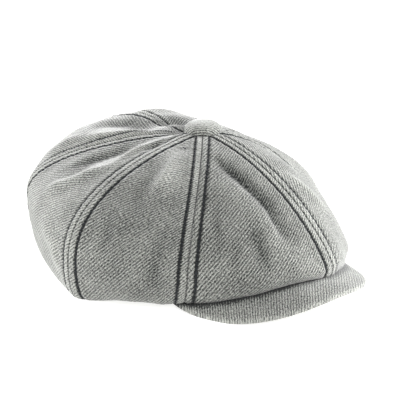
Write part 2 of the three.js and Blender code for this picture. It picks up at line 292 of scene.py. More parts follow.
def on_peak(y):
    """1 where the cloth lies on the peak, 0 where it lies on the floor, with a climb between them."""
    peak_end = -opening_point(math.radians(PEAK_ROOT_ANGLE), 0)[1]
    return smooth(-y, peak_end - PEAK_CLIMB, peak_end - CLOTH)


def rest_height(points):
    """Height of what the foot of the crown rests on."""
    x, y = points[..., 0], points[..., 1]
    return on_peak(y) * (peak_top(x, y) + GAP)


def opening_distance(turn, extra):
    """Distance from the crown's axis to the oval, from the quadratic of a ray that meets it."""
    half_width = OPENING_WIDTH / 2 + extra
    half_length = OPENING_LENGTH / 2 + extra
    across = math.sin(math.radians(turn)) / half_width
    along = math.cos(math.radians(turn)) / half_length
    a = across**2 + along**2
    b = across * OPENING_ASIDE / half_width + along * OPENING_AHEAD / half_length
    c = (OPENING_ASIDE / half_width) ** 2 + (OPENING_AHEAD / half_length) ** 2 - 1
    return (b + math.sqrt(b * b - a * c)) / a


# Crown surface
def shape_at(place):
    """The values of the seams table at a place round the crown, with its panel's bows added."""
    index = int(place) % len(SEAMS)
    share = place - int(place)
    here, following = SEAMS[index], SEAMS[(index + 1) % len(SEAMS)].copy()
    if index == len(SEAMS) - 1:
        following[TURN] = 360
    shape = dict(zip(SEAM_COLUMNS, mix(here, following, share)))
    bow = 4 * share * (1 - share)
    shape["reach"] += PANELS[index]["bow"] * bow
    shape["foot"] += PANELS[index]["foot_bow"] * bow
    return shape


def evenly(points, steps):
    """Points at even steps along the line through the given points."""
    lengths = np.r_[0, np.cumsum(np.linalg.norm(np.diff(points, axis=0), axis=1))]
    wanted = np.linspace(0, lengths[-1], steps + 1)
    return np.stack([np.interp(wanted, lengths, points[:, k]) for k in range(3)], -1)


def column(place):
    """The crown's outline at a place round it, from the hole under the button to the headband."""
    shape = shape_at(place)
    reach = shape["reach"] * CROWN_RADIUS
    foot = shape["foot"] * CROWN_RADIUS
    waist = shape["waist"] * CROWN_HEIGHT
    turn, drift = shape["turn"], shape["drift"]
    share = np.linspace(0, 1, OUTLINE_STEPS + 1)
    start = math.asin((CROWN_HOLE / reach) ** (shape["dome"] / 2))
    angle = mix(start, math.pi / 2, share)
    distance = reach * np.sin(angle) ** (2 / shape["dome"])
    height = mix(waist, CROWN_HEIGHT, np.maximum(np.cos(angle), 0) ** (2 / shape["shoulder"]))
    top = around(distance, turn + drift * DRIFT_AT_WAIST * (distance / reach) ** DRIFT_POWER, height)
    down = share * math.pi / 2
    rest = rest_height(around(foot, turn + drift, 0))
    side_turn = turn + drift * mix(DRIFT_AT_WAIST, 1, share)
    side = around(mix(foot, reach, np.cos(down)), side_turn, mix(waist, rest, np.sin(down)))
    inner = opening_distance(turn + drift, CLOTH / 2 + GAP)
    under = around(mix(foot, inner, share), turn + drift, 0.0)
    under[:, 2] = rest_height(under)
    parts = (evenly(top, TOP_ROWS), evenly(side, SIDE_ROWS)[1:], evenly(under, UNDER_ROWS)[1:])
    return np.concatenate(parts)


def fold_point(fold, share):
    """The point at a share of the way along a fold."""
    steps = np.linspace(0, 1, len(fold["around"]))
    outline = column(np.interp(share, steps, fold["around"]) % len(SEAMS))
    row = np.interp(share, steps, fold["down"]) * FOOT_ROW
    return mix(outline[int(row)], outline[int(row) + 1], row % 1)


def fold_lift(points, folds):
    """How far the folds lift each point off the smooth crown."""
    lift = np.zeros(points.shape[:2])
    for fold in folds:
        strongest = np.zeros(points.shape[:2])
        for step in range(FOLD_STEPS + 1):
            share = step / FOLD_STEPS
            away = np.linalg.norm(points - fold_point(fold, share), axis=2)
            strength = math.sin(math.pi * mix(FOLD_END, 1 - FOLD_END, share))
            here = strength * bump(away, 0, fold["width"] * CROWN_RADIUS)
            strongest = np.maximum(strongest, here)
        lift += fold["height"] * CROWN_RADIUS * strongest
    return lift


def ring_normals(ring):
    """Outward normals of a closed ring of outlines."""
    across = np.roll(ring, -1, axis=0) - np.roll(ring, 1, axis=0)
    down = np.gradient(ring, axis=1)
    normals = np.cross(across, down)
    return normals / np.linalg.norm(normals, axis=2, keepdims=True)


def panel_shares():
    """Places of a panel's columns, crowded towards its seams."""
    share = np.linspace(0, 1, PANEL_COLUMNS + 1)
    half = np.minimum(share, 1 - share)
    crowded = 0.5 * (2 * half) ** EDGE_CROWDING
    return np.where(share <= 0.5, crowded, 1 - crowded)


def cloth_map(points):
    """Lengths over a panel's grid: across from its middle, down from the button, and to its seams."""
    steps = np.linalg.norm(np.diff(points, axis=0), axis=2)
    across = np.concatenate([np.zeros((1, points.shape[1])), np.cumsum(steps, axis=0)])
    from_seam = np.minimum(across, across[-1] - across)
    middle = points[len(points) // 2]
    down = np.r_[0, np.cumsum(np.linalg.norm(np.diff(middle, axis=0), axis=1))]
    return across - across[-1] / 2, np.broadcast_to(down, across.shape), from_seam, across


def ripples(across, down, seed):
    """Shallow unevenness of soft cloth, a few slow waves across a panel."""
    chance = np.random.default_rng(seed)
    height = np.zeros(across.shape)
    for _ in range(RIPPLE_COUNT):
        length = chance.uniform(RIPPLE_SHORTEST, RIPPLE_LONGEST)
        way = chance.uniform(0, math.pi)
        phase = chance.uniform(0, 2 * math.pi)
        travel = (across * math.cos(way) + down * math.sin(way)) / length
        height += length / RIPPLE_LONGEST * np.sin(2 * math.pi * travel + phase)
    return height


def seam_relief(from_seam, down, seed):
    """Height of the cloth over its seam allowances, with the seam and the stitch lines sunk in."""
    chance = np.random.default_rng(seed)
    raised = ALLOWANCE_HEIGHT * (1 - smooth(from_seam, ALLOWANCE_EDGE, ALLOWANCE_END))
    seam = -SEAM_DEPTH * bump(from_seam, 0, SEAM_WIDTH)
    line = -LINE_DEPTH * bump(from_seam, STITCH_LINE, LINE_WIDTH)
    swell = SWELL_HEIGHT * bump(from_seam, SWELL_PLACE, SWELL_WIDTH)
    phase = chance.uniform(0, 2 * math.pi)
    wander = PUCKER_WANDER * np.sin(down / PUCKER_WANDER_LENGTH + phase)
    wave = np.sin(down * 2 * math.pi / PUCKER_PITCH + wander)
    pucker = PUCKER_HEIGHT * wave * bump(from_seam, STITCH_LINE, PUCKER_WIDTH)
    return raised + seam + line + swell + pucker


def crown():
    """The outer face of all panels as one ring: points, normals, wear with painted light and shade, and
    where relief is let in.
    """
    shares = panel_shares()
    places = np.concatenate([index + shares[:-1] for index in range(len(PANELS))])
    ring = np.array([column(place) for place in places])
    normals = ring_normals(ring)
    rows = np.arange(ring.shape[1])
    falls = np.sin(np.pi * np.minimum(rows / FOOT_ROW, 1)) ** 2
    puffs = np.array([PANELS[int(place)]["puff"] for place in places])
    share = places % 1
    puff = CROWN_RADIUS * (puffs * 4 * share * (1 - share))[:, None] * falls
    held = smooth(rows, 0, FADE_AT_BUTTON) * (1 - smooth(rows, FOOT_ROW - FADE_AT_FOOT, FOOT_ROW))
    folds = fold_lift(ring, FOLDS)
    creases = fold_lift(ring, CREASES)
    ring = ring + normals * (puff + (folds + creases) * held)[:, :, None]
    # Lighter on fold ridges and darker in fold hollows: partly wear, partly painted light and shade
    wear_and_painted_light = (FOLD_WEAR_AND_SHADE * folds + CREASE_WEAR_AND_SHADE * creases) * held
    return ring, ring_normals(ring), wear_and_painted_light, held


# Meshes
def wall(outer, inner):
    """Corners and faces of a closed wall between two grids, the outer grid's faces first."""
    columns, rows = outer.shape[:2]
    index = np.arange(columns * rows).reshape(columns, rows)
    back = index + columns * rows

    def strip(a, b, c, d):
        """Faces between four runs of corners."""
        return np.stack([a.ravel(), b.ravel(), c.ravel(), d.ravel()], 1)

    faces = [
        strip(index[:-1, :-1], index[1:, :-1], index[1:, 1:], index[:-1, 1:]),
        strip(back[:-1, :-1], back[:-1, 1:], back[1:, 1:], back[1:, :-1]),
        strip(back[:-1, 0], back[1:, 0], index[1:, 0], index[:-1, 0]),
        strip(index[:-1, -1], index[1:, -1], back[1:, -1], back[:-1, -1]),
        strip(index[0, :-1], index[0, 1:], back[0, 1:], back[0, :-1]),
        strip(back[-1, :-1], back[-1, 1:], index[-1, 1:], index[-1, :-1]),
    ]
    corners = np.concatenate([outer.reshape(-1, 3), inner.reshape(-1, 3)])
    return corners, np.concatenate(faces).tolist()


# The crown's axis goes through the middle of the button, which the frame places.
button_low, button_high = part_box("button")
CROWN_AXIS = np.array([(button_low.x + button_high.x) / 2, (button_low.y + button_high.y) / 2, 0])


def placed(points):
    """Points about the crown's axis, in millimetres, as metres in the frame."""
    return np.asarray(points) * MM + CROWN_AXIS


def near_line(points, line, reach):
    """1 on a line in plan, falling to 0 over the reach. It works in parts, to spare memory."""
    flat = points[..., :2].reshape(-1, 1, 2)
    parts = np.array_split(flat, NEARNESS_PARTS)
    away = [np.linalg.norm(part - line[None, :, :2], axis=2).min(1) for part in parts]
    return bump(np.concatenate(away), 0, reach).reshape(points.shape[:-1])


def make_piece(name, corners, faces, materials, cloth=None, fields=None, slots=None):
    """One object from its corners in millimetres.

    cloth: where each corner lies on its flat cloth. fields: named values for the materials to read.
    slots: the number of each face's material.
    """
    mesh = bpy.data.meshes.new(name)
    mesh.from_pydata(placed(corners).tolist(), [], faces)
    mesh.shade_smooth()
    if cloth is not None:
        layer = mesh.uv_layers.new(name="cloth")
        loops = np.zeros(len(mesh.loops), np.int32)
        mesh.loops.foreach_get("vertex_index", loops)
        layer.data.foreach_set("uv", cloth[loops].astype(np.float32).ravel())
    for field, values in (fields or {}).items():
        attribute = mesh.attributes.new(field, "FLOAT", "POINT")
        attribute.data.foreach_set("value", values.astype(np.float32))
    for material in materials:
        mesh.materials.append(material)
    if slots is not None:
        mesh.polygons.foreach_set("material_index", slots.astype(np.int32))
    mesh.update()
    piece = bpy.data.objects.new(name, mesh)
    bpy.context.scene.collection.objects.link(piece)
    return piece


# Materials

# Places of the colour sockets of a Mix node, whose names it uses more than once
MIX_SHARE = 0
MIX_LOW = 6
MIX_HIGH = 7
MIX_RESULT = 2

CLOTH_GLOSS = 0.25
SHEEN_SPREAD = 0.45

# The value about which a noise varies
NOISE_MIDDLE = 0.5

DARK_YARN = (0.008, 0.01, 0.01, 1)
LIGHT_YARN = (0.47, 0.48, 0.445, 1)
WRONG_SIDE_DARK = (0.1, 0.105, 0.11, 1)
WRONG_SIDE_LIGHT = (0.5, 0.5, 0.48, 1)
BAND_DARK = (0.03, 0.03, 0.035, 1)
BAND_LIGHT = (0.12, 0.12, 0.125, 1)
THREAD_DARK = (0.005, 0.006, 0.008, 1)
THREAD_LIGHT = (0.035, 0.042, 0.05, 1)

# Twill: the pitch of its wales, how far they stray in radians of that pitch, and the sizes of its
# unevenness as pairs. The pairs of broken yarn and streaks are across and along the wales.
WALE = 2.1
WALE_WOBBLE = 3.0
WOBBLE_SIZE = (7, 7)
BREAK_SIZE = (0.75, 1.7)
GRAIN_SIZE = (0.45, 0.45)
WASH_SIZE = (26, 26)
STREAK_SIZE = (3.2, 22)

# How much each part of the twill adds to its lightness and to its height
TWILL_BASE = 0.33
# Its last tone is partly wear and partly painted light and shade on the folds, the foot, the peak and the
# button
TWILL_TONES = {"wales": 0.25, "broken": 1.6, "grain": 1.6, "wash": 0.34, "streak": 0.2, "wear_and_painted_light": 0.085}
TWILL_HEIGHTS = {"wales": 0.4, "broken": 0.9, "grain": 0.5}

# Tones beside a seam: distance from it, width, and how much lighter or darker the cloth is there.
# The darker tones in the seam and stitch-line grooves are partly indigo kept there and partly painted
# shade; the lighter bands on the raised allowance are partly wear and partly painted highlight.
# The soft tone is the wider dark hollow, partly painted shade, of the seams that have one.
SEAM_TONES = (
    (0.0, 0.5, -0.36),
    (1.7, 1.0, 0.12),
    (STITCH_LINE - 2.4, 1.3, 0.15),
    (STITCH_LINE, 0.9, -0.72),
)
SOFT_TONE = (STITCH_LINE, 1.4, -0.5)

# Plain weave, in the same way
WEAVE_BASE = 0.5
WEAVE_TONES = {"weave": 0.2, "grain": 0.8, "wash": 0.4}
WEAVE_HEIGHTS = {"weave": 0.5, "grain": 0.5}
WEAVE_GRAIN_SIZE = (0.5, 0.5)
WEAVE_WASH_SIZE = (30, 30)

# Thread: speckles and lint to the metre, as the noise counts them, and how much each shows
SPECKLE_SCALE = 900.0
SPECKLE_LEVEL = 0.35
SPECKLE_SHARE = 1.6
LINT_SCALE = 2600.0
LINT_SHARE = 0.6


class Maths:
    """A socket whose arithmetic adds Math nodes to its material."""

    def __init__(self, build, socket):
        self.build = build
        self.socket = socket

    def join(self, operation, *values):
        """A Math node on the given values or sockets."""
        return self.build.node("ShaderNodeMath", {"operation": operation}, dict(enumerate(values)))

    def __add__(self, other):
        return self.join("ADD", self, other)

    __radd__ = __add__

    def __sub__(self, other):
        return self.join("SUBTRACT", self, other)

    def __rsub__(self, other):
        return self.join("SUBTRACT", other, self)

    def __mul__(self, other):
        return self.join("MULTIPLY", self, other)

    __rmul__ = __mul__

    def __truediv__(self, other):
        return self.join("DIVIDE", self, other)

    def __rtruediv__(self, other):
        return self.join("DIVIDE", other, self)

    def clamped(self):
        """Kept between 0 and 1."""
        return self.join("MAXIMUM", self.join("MINIMUM", self, 1.0), 0.0)

    def cosine(self):
        return self.join("COSINE", self)

    def hump(self, middle, width):
        """1 at the middle, falling off on both sides over the width."""
        away = (self - middle) / width
        return self.join("POWER", math.e, -1 * (away * away))


class Finish:
    """One material and the nodes that are added to it."""

    def __init__(self, name, roughness, sheen):
        self.material = bpy.data.materials.new(name)
        self.material.use_nodes = True
        self.tree = self.material.node_tree
        self.shader = self.tree.nodes["Principled BSDF"]
        self.shader.inputs["Roughness"].default_value = roughness
        self.shader.inputs["Specular IOR Level"].default_value = CLOTH_GLOSS
        self.shader.inputs["Sheen Weight"].default_value = sheen
        self.shader.inputs["Sheen Roughness"].default_value = SHEEN_SPREAD

    def node(self, kind, settings=None, sockets=None, output=0):
        """The wanted output of a new node. Its sockets are given by their places or their names."""
        made = self.tree.nodes.new(kind)
        for key, value in (settings or {}).items():
            setattr(made, key, value)
        for key, value in (sockets or {}).items():
            self.feed(made.inputs[key], value)
        return Maths(self, made.outputs[output])

    def feed(self, socket, value):
        """Give a socket a plain value or the output of another node."""
        if isinstance(value, Maths):
            self.tree.links.new(value.socket, socket)
        else:
            socket.default_value = value

    def cloth(self):
        """Places across and down the flat cloth, in millimetres."""
        place = self.node("ShaderNodeUVMap", {"uv_map": "cloth"})
        return [self.node("ShaderNodeSeparateXYZ", None, {0: place}, output=side) for side in "XY"]

    def field(self, name):
        """A value that the piece's corners carry."""
        return self.node("ShaderNodeAttribute", {"attribute_name": name}, output="Fac")

    def noise(self, vector, scale, detail, flat=False):
        """Smooth noise at a place, in the plane alone where it is flat."""
        settings = {"noise_dimensions": "2D" if flat else "3D"}
        sockets = {"Vector": vector, "Scale": scale, "Detail": detail}
        return self.node("ShaderNodeTexNoise", settings, sockets)

    def patches(self, x, y, size, detail=1.0):
        """Uneven patches of about the given size, as values on both sides of zero."""
        wide, long = size
        vector = self.node("ShaderNodeCombineXYZ", None, {"X": x / wide, "Y": y / long})
        return self.noise(vector, 1.0, detail, flat=True) - NOISE_MIDDLE

    def blend(self, share, low, high):
        """From the low colour at a share of 0 to the high one at 1."""
        sockets = {MIX_SHARE: share, MIX_LOW: low, MIX_HIGH: high}
        return self.node("ShaderNodeMix", {"data_type": "RGBA"}, sockets, output=MIX_RESULT)

    def finish(self, colour, height, depth, strength):
        """The material with its colour, and with its height as a bump of the given depth."""
        self.feed(self.shader.inputs["Base Color"], colour)
        sockets = {"Height": height, "Distance": depth, "Strength": strength}
        self.feed(self.shader.inputs["Normal"], self.node("ShaderNodeBump", None, sockets))
        return self.material


def weighed(parts, weights, base=0.0):
    """The base plus each named part times its weight."""
    total = base
    for name, weight in weights.items():
        total = total + parts[name] * weight
    return total


def twill(name, lightness=0.0, lines=False):
    """Washed twill: diagonal wales of dark warp broken by pale weft, with wear and painted light and
    shade on its folds.
    """
    finish = Finish(name, roughness=0.92, sheen=0.6)
    x, y = finish.cloth()
    diagonal = math.sqrt(0.5)
    across = (x - y) * diagonal
    along = (x + y) * diagonal
    wobble = finish.patches(x, y, WOBBLE_SIZE)
    parts = {
        "wales": (across * (2 * math.pi / WALE) + wobble * WALE_WOBBLE).cosine(),
        "broken": finish.patches(across, along, BREAK_SIZE),
        "grain": finish.patches(x, y, GRAIN_SIZE, detail=2.0),
        "wash": finish.patches(x, y, WASH_SIZE, detail=3.0),
        "streak": finish.patches(across, along, STREAK_SIZE),
        # Wear together with painted light and shade, carried by the corners
        "wear_and_painted_light": finish.field("wear_and_painted_light"),
    }
    light = weighed(parts, TWILL_TONES, TWILL_BASE + lightness)
    if lines:
        from_seam = finish.field("from_seam")
        # Dark grooves at the seam and stitch lines, partly painted shade, and lighter bands beside them,
        # partly painted highlight
        for away, width, tone in SEAM_TONES:
            light = light + from_seam.hump(away, width) * tone
        away, width, tone = SOFT_TONE
        light = light + from_seam.hump(away, width) * finish.field("soft") * tone
    colour = finish.blend(light.clamped(), DARK_YARN, LIGHT_YARN)
    return finish.finish(colour, weighed(parts, TWILL_HEIGHTS), depth=0.3 * MM, strength=0.8)


def plain_weave(name, dark, light, pitch):
    """Plain cloth of even threads, for the inside of the crown and the headband."""
    finish = Finish(name, roughness=0.95, sheen=0.1)
    x, y = finish.cloth()
    warp = (x * (2 * math.pi / pitch)).cosine()
    weft = (y * (2 * math.pi / pitch)).cosine()
    parts = {
        "weave": warp * weft,
        "grain": finish.patches(x, y, WEAVE_GRAIN_SIZE, detail=2.0),
        "wash": finish.patches(x, y, WEAVE_WASH_SIZE, detail=2.0),
    }
    colour = finish.blend(weighed(parts, WEAVE_TONES, WEAVE_BASE).clamped(), dark, light)
    return finish.finish(colour, weighed(parts, WEAVE_HEIGHTS), depth=0.2 * MM, strength=0.7)


def thread_finish(name, dark, light):
    """Dark thread with paler specks and a little lint."""
    finish = Finish(name, roughness=0.75, sheen=0.1)
    place = finish.node("ShaderNodeTexCoord", output="Object")
    speckle = finish.noise(place, SPECKLE_SCALE, detail=2.0)
    lint = finish.noise(place, LINT_SCALE, detail=1.0)
    share = (speckle - SPECKLE_LEVEL) * SPECKLE_SHARE + (lint - NOISE_MIDDLE) * LINT_SHARE
    colour = finish.blend(share.clamped(), dark, light)
    return finish.finish(colour, lint, depth=0.1 * MM, strength=0.6)


outer_cloth = twill("washed_twill", lines=True)
plain_cloth = twill("washed_twill_plain", lightness=0.02)
inner_cloth = plain_weave("twill_wrong_side", WRONG_SIDE_DARK, WRONG_SIDE_LIGHT, pitch=1.4)
band_cloth = plain_weave("headband_weave", BAND_DARK, BAND_LIGHT, pitch=0.9)
thread = thread_finish("topstitch_thread", THREAD_DARK, THREAD_LIGHT)


# Crown panels

# The share of its first column by which a panel stops short of its seams
EDGE_PULL = 0.3

# Where, across a panel, the softness of one seam's hollows gives way to the next seam's
SOFT_CHANGE = (0.45, 0.55)

# The loose thread end: its panel, its place across it and row down from the button, and its shape
LOOSE_PANEL = 1
LOOSE_SHARE = 0.46
LOOSE_ROW = 24
LOOSE_LENGTH = 3.6
LOOSE_BEND = 0.5
LOOSE_ARCH = 0.5
LOOSE_LIFT = 0.3
LOOSE_TAPER = 0.5
LOOSE_STEPS = 12
LOOSE_SIDES = 6
LOOSE_RADIUS = FINE_STITCH / 1.9


def panel_piece(index, ring, outward, inner_ring, wear_and_painted_light, held):
    """One panel's cloth. It gives back its outer face for the stitches that lie on it."""
    panel = PANELS[index]
    take = [(index * PANEL_COLUMNS + c) % len(ring) for c in range(PANEL_COLUMNS + 1)]
    points, inner = ring[take].copy(), inner_ring[take].copy()
    normals = outward[take]
    across, down, from_seam, from_first = cloth_map(points)
    down_share = np.minimum(down[0] / down[0, FOOT_ROW], 1)
    spread = mix(LINE_SPREAD_AT_BUTTON, LINE_SPREAD_AT_FOOT, down_share)
    from_seam = from_seam / spread
    relief = seam_relief(from_seam, down, SEED + index)
    waves = RIPPLE_HEIGHT * ripples(across, down, SEED * 3 + index)
    soft_cloth = waves * smooth(from_seam, RIPPLES_FROM, RIPPLES_FULL)
    points += normals * ((relief + soft_cloth) * held)[:, :, None]
    points[..., 2] = np.maximum(points[..., 2], CLEARANCE)
    for face in (points, inner):
        face[0] += (face[1] - face[0]) * EDGE_PULL
        face[-1] += (face[-2] - face[-1]) * EDGE_PULL
    corners, faces = wall(points, inner)
    cloth = np.stack([twice(-across), twice(-down)], 1)
    near_next = smooth(from_first / np.maximum(from_first[-1], 1), *SOFT_CHANGE)
    soft = mix(SEAMS[index][SOFT], SEAMS[(index + 1) % len(SEAMS)][SOFT], near_next)
    foot_line = bump(down, down[:, FOOT_ROW][:, None], FOOT_SHADE_WIDTH)
    # Painted shade darkens the cloth along the foot where it lies on the peak
    shaded = wear_and_painted_light[take] - FOOT_SHADE * on_peak(points[..., 1]) * foot_line
    fields = {"wear_and_painted_light": twice(shaded), "from_seam": twice(from_seam), "soft": twice(soft)}
    outer_faces = PANEL_COLUMNS * (points.shape[1] - 1)
    slots = np.arange(len(faces)) >= outer_faces
    piece = make_piece(
        panel["name"] + "_cloth", corners, faces, (outer_cloth, inner_cloth), cloth, fields, slots
    )
    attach(piece, "root")
    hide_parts(panel["name"])
    return points, normals, from_first, spread


def stitch_path(points, normals, from_first, spread, side):
    """The line of one row of topstitching on a panel, beside its first or last seam."""
    width = from_first[-1]
    from_edge = STITCH_LINE * spread
    wanted = from_edge if side == "first" else width - from_edge
    path = []
    for row in range(FIRST_STITCH_ROW, FOOT_ROW - 1):
        if width[row] < 2 * from_edge[row] + STITCH_ROOM:
            continue
        lifted = points[:, row] + normals[:, row] * STITCH_LIFT
        lifted[:, 2] = np.maximum(lifted[:, 2], CLEARANCE + HEAVY_STITCH / 2)
        path.append([np.interp(wanted[row], from_first[:, row], lifted[:, k]) for k in range(3)])
    return np.array(path)


def loose_end(points, normals):
    """A short end of thread left standing where a row of stitches was locked off."""
    place = int(LOOSE_SHARE * PANEL_COLUMNS)
    start, out = points[place, LOOSE_ROW], normals[place, LOOSE_ROW]
    along = points[place, LOOSE_ROW + 1] - points[place, LOOSE_ROW]
    along = along / np.linalg.norm(along)
    side = np.cross(along, out)
    bend = np.linspace(0, 1, LOOSE_STEPS + 1)[:, None]
    path = start + out * LOOSE_ARCH * np.sin(bend * math.pi) + side * LOOSE_LENGTH * bend
    path = path - along * LOOSE_LENGTH * LOOSE_BEND * bend**2 + out * LOOSE_LIFT
    turn = np.linspace(0, 2 * math.pi, LOOSE_SIDES, endpoint=False)[None, :, None]
    thick = LOOSE_RADIUS * (1 - LOOSE_TAPER * bend[:, :, None])
    tube = path[:, None, :] + thick * (np.cos(turn) * out + np.sin(turn) * along)
    rings, sides = tube.shape[:2]
    index = np.arange(rings * sides).reshape(rings, sides)
    following = np.roll(index, -1, axis=1)
    quads = np.stack([index[:-1], index[1:], following[1:], following[:-1]], -1)
    faces = quads.reshape(-1, 4).tolist() + [index[0].tolist(), index[-1][::-1].tolist()]
    piece = make_piece("loose_thread", tube.reshape(-1, 3), faces, (thread,))
    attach(piece, "root")


crown_ring, crown_normals, crown_wear_and_painted_light, crown_held = crown()
crown_inner = crown_ring - crown_normals * CLOTH
stitch_lines = [[] for seam in SEAMS]
for index in range(len(PANELS)):
    shown = panel_piece(index, crown_ring, crown_normals, crown_inner, crown_wear_and_painted_light, crown_held)
    stitch_lines[index].append(stitch_path(*shown, "first"))
    stitch_lines[(index + 1) % len(SEAMS)].append(stitch_path(*shown, "last"))
    if index == LOOSE_PANEL:
        loose_end(*shown[:2])


# Topstitching
def stitch_tree():
    """Stitches of one length laid at an even pitch along every line of the given mesh."""
    tree = bpy.data.node_groups.new("topstitching", "GeometryNodeTree")
    face = tree.interface
    face.new_socket("Lines", in_out="INPUT", socket_type="NodeSocketGeometry")
    for label in ("Pitch", "Length", "Width"):
        face.new_socket(label, in_out="INPUT", socket_type="NodeSocketFloat")
    face.new_socket("Thread", in_out="INPUT", socket_type="NodeSocketMaterial")
    face.new_socket("Stitches", in_out="OUTPUT", socket_type="NodeSocketGeometry")
    nodes, link = tree.nodes, tree.links.new
    given = nodes.new("NodeGroupInput")
    result = nodes.new("NodeGroupOutput")
    curve = nodes.new("GeometryNodeMeshToCurve")
    points = nodes.new("GeometryNodeCurveToPoints")
    points.mode = "LENGTH"
    # One stitch is a ball of width 1 that is scaled to the wanted size.
    shape = nodes.new("GeometryNodeMeshUVSphere")
    shape.inputs["Segments"].default_value = STITCH_SEGMENTS
    shape.inputs["Rings"].default_value = STITCH_RINGS
    shape.inputs["Radius"].default_value = 0.5
    size = nodes.new("ShaderNodeCombineXYZ")
    instances = nodes.new("GeometryNodeInstanceOnPoints")
    turned = nodes.new("FunctionNodeRotateRotation")
    slant = nodes.new("FunctionNodeRandomValue")
    slant.data_type = "FLOAT_VECTOR"
    slant.inputs["Min"].default_value = (-STITCH_SLANT,) * 3
    slant.inputs["Max"].default_value = (STITCH_SLANT,) * 3
    slant.inputs["Seed"].default_value = SEED
    realized = nodes.new("GeometryNodeRealizeInstances")
    dressed = nodes.new("GeometryNodeSetMaterial")
    link(given.outputs["Lines"], curve.inputs[0])
    link(curve.outputs[0], points.inputs["Curve"])
    link(given.outputs["Pitch"], points.inputs["Length"])
    link(given.outputs["Width"], size.inputs["X"])
    link(given.outputs["Width"], size.inputs["Y"])
    link(given.outputs["Length"], size.inputs["Z"])
    link(points.outputs["Points"], instances.inputs["Points"])
    link(shape.outputs["Mesh"], instances.inputs["Instance"])
    link(points.outputs["Rotation"], turned.inputs[0])
    link(slant.outputs[0], turned.inputs[1])
    link(turned.outputs[0], instances.inputs["Rotation"])
    link(size.outputs[0], instances.inputs["Scale"])
    link(instances.outputs[0], realized.inputs[0])
    link(realized.outputs[0], dressed.inputs["Geometry"])
    link(given.outputs["Thread"], dressed.inputs["Material"])
    link(dressed.outputs[0], result.inputs[0])
    return tree


def stitched(name, lines, tree, width):
    """Stitches along the given lines, as one piece."""
    corners = np.concatenate(lines)
    ends = np.cumsum([len(line) for line in lines])
    edges = [(k, k + 1) for k in range(len(corners) - 1) if k + 1 not in ends]
    mesh = bpy.data.meshes.new(name + "_lines")
    mesh.from_pydata(placed(corners).tolist(), edges, [])
    holder = bpy.data.objects.new(name + "_lines", mesh)
    bpy.context.scene.collection.objects.link(holder)
    modifier = holder.modifiers.new("stitches", "NODES")
    modifier.node_group = tree
    given = {
        "Pitch": STITCH_PITCH * MM,
        "Length": STITCH_LENGTH * MM,
        "Width": width * MM,
        "Thread": thread,
    }
    for item in tree.interface.items_tree:
        if item.in_out == "INPUT" and item.name in given:
            modifier[item.identifier] = given[item.name]
    bpy.context.view_layer.update()
    evaluated = holder.evaluated_get(bpy.context.evaluated_depsgraph_get())
    made = bpy.data.meshes.new_from_object(evaluated)
    piece = bpy.data.objects.new(name, made)
    piece.data.shade_smooth()
    bpy.context.scene.collection.objects.link(piece)
    bpy.data.objects.remove(holder)
    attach(piece, "root")


topstitching = stitch_tree()
for index, panel in enumerate(PANELS):
    name = panel["name"].replace("panel", "topstitching")
    width = mix(FINE_STITCH, HEAVY_STITCH, SEAMS[index][SOFT])
    stitched(name, stitch_lines[index], topstitching, width)


# Peak

# The rim is rounded over RIM_ROUND, and RIM_LEAST of its squared thickness is left at its very edge.
RIM_ROUND = 2.2
RIM_LEAST = 0.02
RIM_WEAR = 3.0
RIM_WEAR_WIDTH = 2.0

# The hem is a low ridge that the rim's seam allowances raise.
HEM_HEIGHT = 0.25
HEM_PLACE = 2.6
HEM_WIDTH = 1.8

# Ripples of the peak's cloth, from and to these distances from the rim
PEAK_RIPPLE_HEIGHT = 0.12
PEAK_RIPPLES_FROM = 1
PEAK_RIPPLES_FULL = 8
PEAK_SEED = SEED + 40

# Shade on the peak along the foot of the crown
PEAK_SHADE = 9.0
PEAK_SHADE_WIDTH = 3.2


